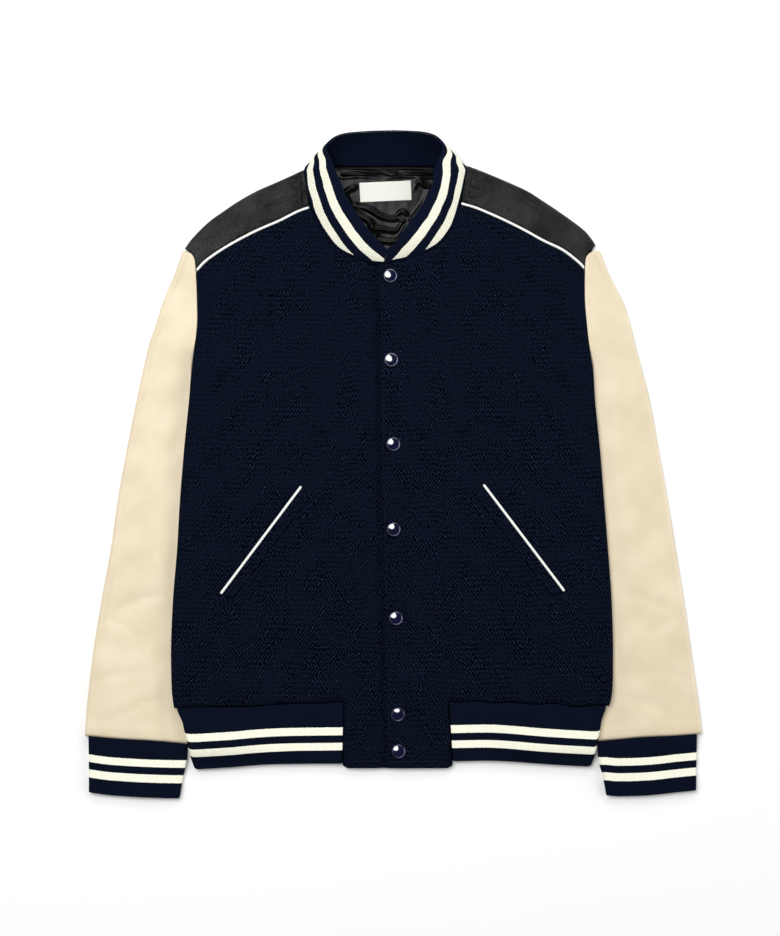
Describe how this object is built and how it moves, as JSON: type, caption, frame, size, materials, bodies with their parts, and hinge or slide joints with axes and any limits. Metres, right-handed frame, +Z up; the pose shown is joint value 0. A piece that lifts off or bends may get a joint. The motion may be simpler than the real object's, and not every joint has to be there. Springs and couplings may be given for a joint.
{
  "type": "varsity jacket",
  "caption": "Varsity jacket laid flat and face up: wool body, leather sleeves and shoulders, striped rib collar, cuffs and hem, snapped front and slanted welt pockets.",
  "frame": {"origin": "centre of the outline, on the surface that the jacket lies on", "axes": "+X to the wearer's left, +Y towards the collar, +Z up from the surface through the layers"},
  "size_m": [0.7169, 0.7736, 0.0353],
  "materials": {
    "wool": "matte napped twill",
    "rib": "matte rib knit with two cream stripes",
    "shoulder_leather": "black grained leather",
    "sleeve_leather": "smooth cream leather",
    "satin": "black satin",
    "white_trim": "white piping and blank label",
    "snap_enamel": "glossy enamel cap in a metal rim"
  },
  "bodies": {
    "root": {"back_panel": "wool", "front_right": "wool", "front_left": "wool", "pocket_welt_right": "wool", "pocket_welt_left": "wool", "collar": "rib", "cuff_right": "rib", "cuff_left": "rib", "hem_rib_right": "rib", "hem_rib_left": "rib", "hem_rib_back": "rib", "shoulder_right": "shoulder_leather", "shoulder_left": "shoulder_leather", "sleeve_right": "sleeve_leather", "sleeve_left": "sleeve_leather", "neck_lining": "satin", "hanger_loop": "satin", "shoulder_piping_right": "white_trim", "shoulder_piping_left": "white_trim", "back_piping_right": "white_trim", "back_piping_left": "white_trim", "pocket_piping_right": "white_trim", "pocket_piping_left": "white_trim", "neck_label": "white_trim", "snap_1": "snap_enamel", "snap_2": "snap_enamel", "snap_3": "snap_enamel", "snap_4": "snap_enamel", "snap_5": "snap_enamel", "snap_6": "snap_enamel", "snap_7": "snap_enamel"}
  },
  "joints": []
}
